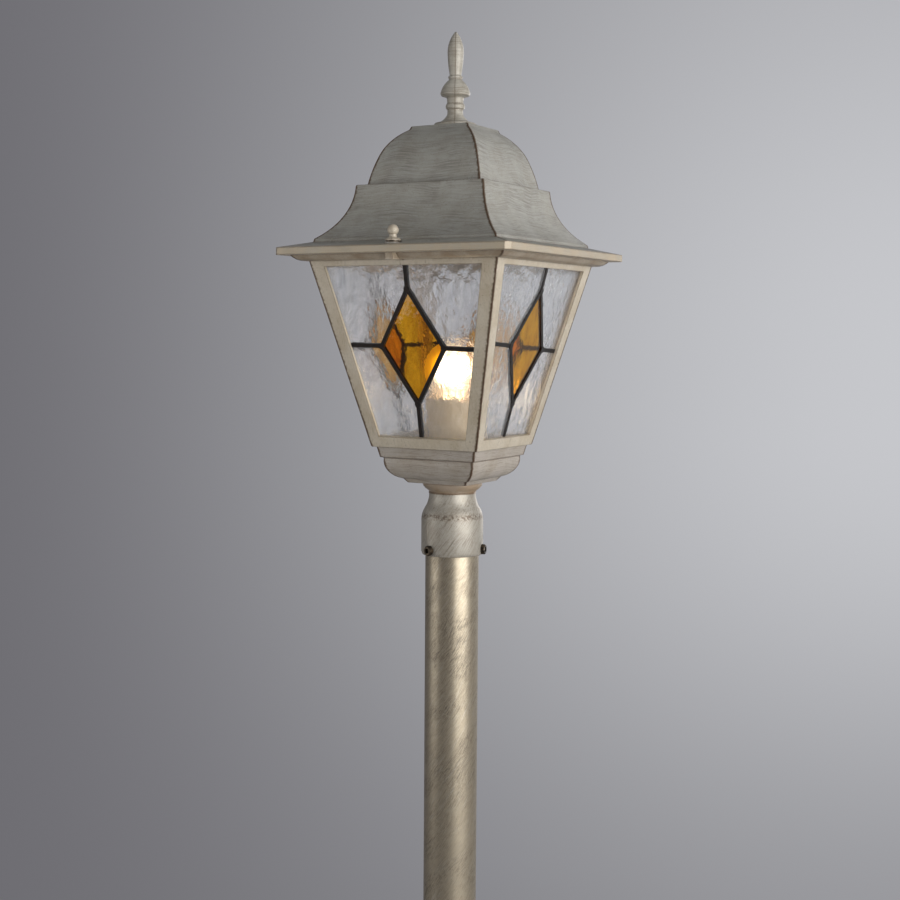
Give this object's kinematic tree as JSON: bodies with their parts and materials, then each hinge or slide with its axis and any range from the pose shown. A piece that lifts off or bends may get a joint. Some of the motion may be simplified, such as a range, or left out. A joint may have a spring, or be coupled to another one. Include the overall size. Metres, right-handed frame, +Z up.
{
  "type": "park light",
  "caption": "Square stained-glass lantern with a domed roof and finial on a round post, with a round cast foot.",
  "frame": {"origin": "centre of the foot's flat face, on the post's axis", "axes": "+Z up along the post; -Y is the lantern's front, one of the two sides with a ball nut; +X is its right"},
  "size_m": [0.2, 0.2, 1.2],
  "materials": {
    "antique_white": "die-cast aluminium, off-white paint with brown-gold brushed patina",
    "champagne_gold": "champagne-gold metallic paint with grey-brown brush strokes",
    "bronze": "dark bronzed metal",
    "zinc": "zinc-plated steel",
    "brass": "plain brass",
    "ceramic": "cream glazed porcelain",
    "frosted_bulb": "frosted, lit",
    "lead_came": "blackened lead, satin",
    "hammered_glass": "clear hammered and rippled glass",
    "amber_glass": "smooth streaky amber glass"
  },
  "bodies": {
    "stand": {"foot": "antique_white", "foot_set_screws": "bronze", "post": "champagne_gold", "collar": "antique_white", "collar_set_screws": "bronze", "bowl": "antique_white", "nipple": "zinc", "nipple_nuts": "zinc", "holder_bracket": "zinc", "holder_screws": "zinc", "lamp_holder": "ceramic", "screw_shell": "brass", "centre_contact": "brass", "bulb": "frosted_bulb", "earth_screw": "brass", "lantern_frame": "antique_white", "frame_screws": "zinc", "roof_studs": "brass", "pane_clips": "zinc", "front_cames": "lead_came", "front_amber": "amber_glass", "front_clear_upper_left": "hammered_glass", "front_clear_upper_right": "hammered_glass", "front_clear_lower_left": "hammered_glass", "front_clear_lower_right": "hammered_glass", "right_cames": "lead_came", "right_amber": "amber_glass", "right_clear_upper_left": "hammered_glass", "right_clear_upper_right": "hammered_glass", "right_clear_lower_left": "hammered_glass", "right_clear_lower_right": "hammered_glass", "back_cames": "lead_came", "back_amber": "amber_glass", "back_clear_upper_left": "hammered_glass", "back_clear_upper_right": "hammered_glass", "back_clear_lower_left": "hammered_glass", "back_clear_lower_right": "hammered_glass", "left_cames": "lead_came", "left_amber": "amber_glass", "left_clear_upper_left": "hammered_glass", "left_clear_upper_right": "hammered_glass", "left_clear_lower_left": "hammered_glass", "left_clear_lower_right": "hammered_glass"},
    "roof": {"roof": "antique_white", "finial": "antique_white", "finial_stud": "zinc", "finial_nut": "zinc"},
    "front_nut_carrier": {"front_washer": "bronze"},
    "front_nut": {"front_ball_nut": "antique_white"},
    "back_nut_carrier": {"back_washer": "bronze"},
    "back_nut": {"back_ball_nut": "antique_white"}
  },
  "joints": [
    {"name": "roof_lift", "type": "slide", "parent": "stand", "child": "roof", "axis": [0, 0, 1], "range_m": [0, 0.15]},
    {"name": "front_nut_travel", "type": "slide", "parent": "roof", "child": "front_nut_carrier", "axis": [0, 0, 1], "range_m": [0, 0.00735]},
    {"name": "front_nut_turn", "type": "hinge", "parent": "front_nut_carrier", "child": "front_nut", "pos_m": [0, -0.09, 1.0356], "axis": [0, 0, 1], "range_deg": [0, 3780]},
    {"name": "back_nut_travel", "type": "slide", "parent": "roof", "child": "back_nut_carrier", "axis": [0, 0, 1], "range_m": [0, 0.00735]},
    {"name": "back_nut_turn", "type": "hinge", "parent": "back_nut_carrier", "child": "back_nut", "pos_m": [0, 0.09, 1.0356], "axis": [0, 0, 1], "range_deg": [0, 3780]}
  ],
  "couplings": [
    {"joint": "front_nut_turn", "follows": "front_nut_travel", "rad_per_m": 8976},
    {"joint": "back_nut_turn", "follows": "back_nut_travel", "rad_per_m": 8976}
  ]
}
